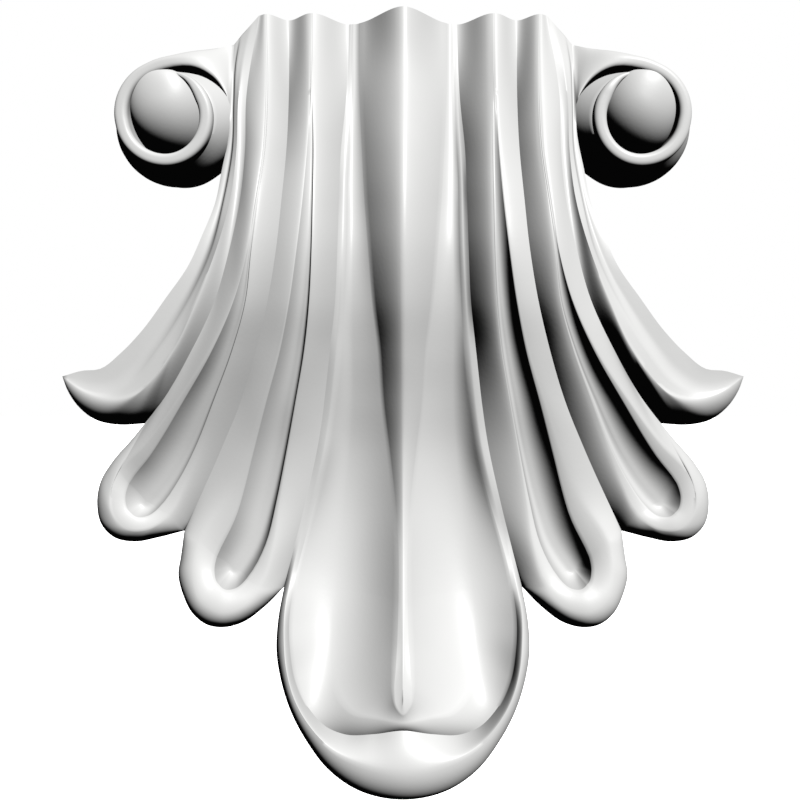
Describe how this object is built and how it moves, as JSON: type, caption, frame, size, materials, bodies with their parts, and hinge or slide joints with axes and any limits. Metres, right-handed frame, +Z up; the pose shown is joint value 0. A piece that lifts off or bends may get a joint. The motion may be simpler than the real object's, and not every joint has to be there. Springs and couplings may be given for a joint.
{
  "type": "carved onlay",
  "caption": "Carved relief onlay: a drop of fluted leaves round a ribbed middle leaf, under scrolls at the top corners, flat at the back.",
  "frame": {"origin": "on the flat back, on the axis of symmetry, at half the height", "axes": "+Y out of the flat back, away from the carving; +Z up along the axis of symmetry, towards the scrolls; +X to the right of someone who faces the carving"},
  "size_m": [0.1198, 0.0312, 0.1412],
  "materials": {
    "painted_wood": "satin"
  },
  "bodies": {
    "root": {"onlay": "painted_wood"}
  },
  "joints": []
}
